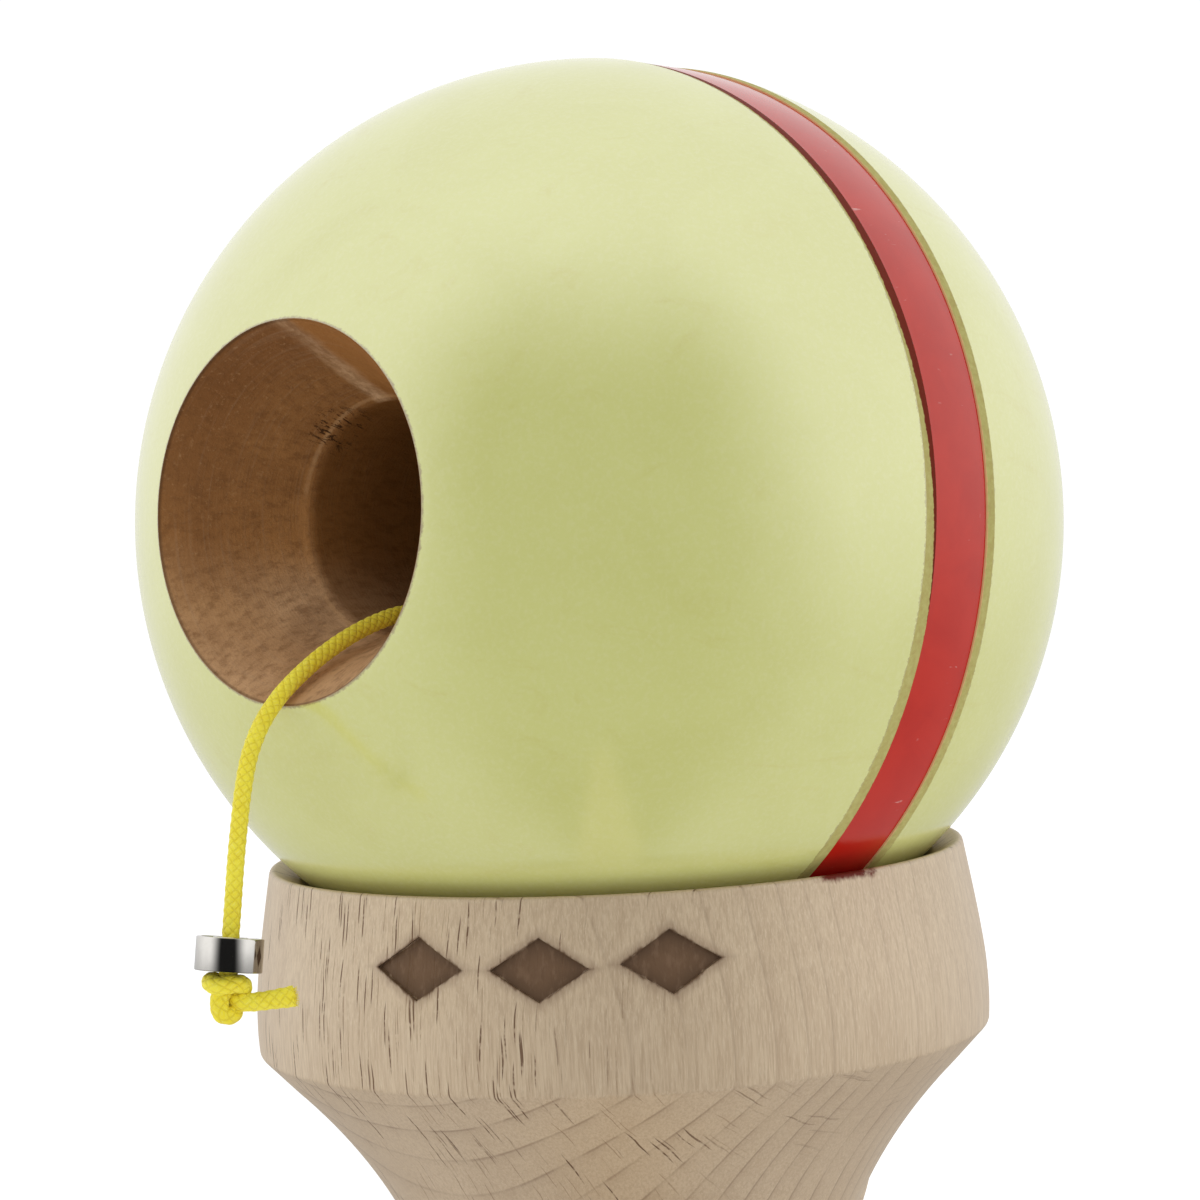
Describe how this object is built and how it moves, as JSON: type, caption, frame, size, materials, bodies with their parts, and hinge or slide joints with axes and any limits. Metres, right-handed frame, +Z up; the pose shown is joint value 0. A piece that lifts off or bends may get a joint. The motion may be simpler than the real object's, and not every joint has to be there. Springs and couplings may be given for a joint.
{
  "type": "kendama",
  "caption": "Cup-and-ball skill toy: a bored wooden ball on a cord rests in a cross-piece's big cup, with a spiked handle through the waist and a small bearing on the cord's end.",
  "frame": {"origin": "on the surface that the toy stands on, midway along the handle, under the handle's axis", "axes": "+Z up along the cross-piece's axis, +Y along the handle towards its base cup, the spike points along -Y, +X to the right seen from the spike"},
  "size_m": [0.06, 0.162, 0.1231],
  "materials": {
    "beech": "sanded bare beech with short dark flecks along the grain",
    "lacquered_ball": "pale yellow-green gloss lacquer with a red stripe, bare wood in the bore",
    "cord": "tightly braided bright yellow cord",
    "bearing_steel": "polished bearing steel",
    "bearing_brass": "pressed brass cage"
  },
  "bodies": {
    "handle": {"cross_piece": "beech", "spiked_handle": "beech", "handle_knot": "cord", "cord_from_handle": "cord", "cord_coil": "cord", "cord_to_ball": "cord"},
    "ball_cord": {"cord_in_ball": "cord"},
    "ball": {"ball": "lacquered_ball"},
    "cord_end": {"cord_end": "cord", "end_knot": "cord", "knot_tail": "cord"},
    "bearing_inner": {"bearing_inner_ring": "bearing_steel"},
    "bearing_outer": {"bearing_outer_ring": "bearing_steel", "bearing_top_shield": "bearing_steel", "bearing_bottom_shield": "bearing_steel"},
    "bearing_cage": {"bearing_cage": "bearing_brass", "bearing_ball_1": "bearing_steel", "bearing_ball_2": "bearing_steel", "bearing_ball_3": "bearing_steel", "bearing_ball_4": "bearing_steel", "bearing_ball_5": "bearing_steel", "bearing_ball_6": "bearing_steel", "bearing_ball_7": "bearing_steel"}
  },
  "joints": [
    {"name": "ball_lift", "type": "slide", "parent": "handle", "child": "ball_cord", "axis": [0, 0, 1], "range_m": [0, 0.12]},
    {"name": "ball_spin", "type": "hinge", "parent": "ball_cord", "child": "ball", "pos_m": [0, -0.018, 0.0932], "axis": [-0.6455, -0.7598, 0.0785], "continuous": true},
    {"name": "string_end_swing", "type": "hinge", "parent": "ball_cord", "child": "cord_end", "pos_m": [-0.01897, -0.04032, 0.08486], "axis": [-0.7621, 0.6475, 0], "range_deg": [0, 60]},
    {"name": "bearing_slide", "type": "slide", "parent": "cord_end", "child": "bearing_inner", "axis": [0.1067, 0.1256, 0.9863], "range_m": [0, 0.0045]},
    {"name": "bearing_spin", "type": "hinge", "parent": "bearing_inner", "child": "bearing_outer", "pos_m": [-0.02193, -0.04381, 0.06978], "axis": [0.1067, 0.1256, 0.9863], "continuous": true},
    {"name": "bearing_cage_turn", "type": "hinge", "parent": "bearing_inner", "child": "bearing_cage", "pos_m": [-0.02193, -0.04381, 0.06978], "axis": [0.1067, 0.1256, 0.9863], "continuous": true}
  ],
  "couplings": [
    {"joint": "bearing_cage_turn", "follows": "bearing_spin", "ratio": 0.627}
  ]
}
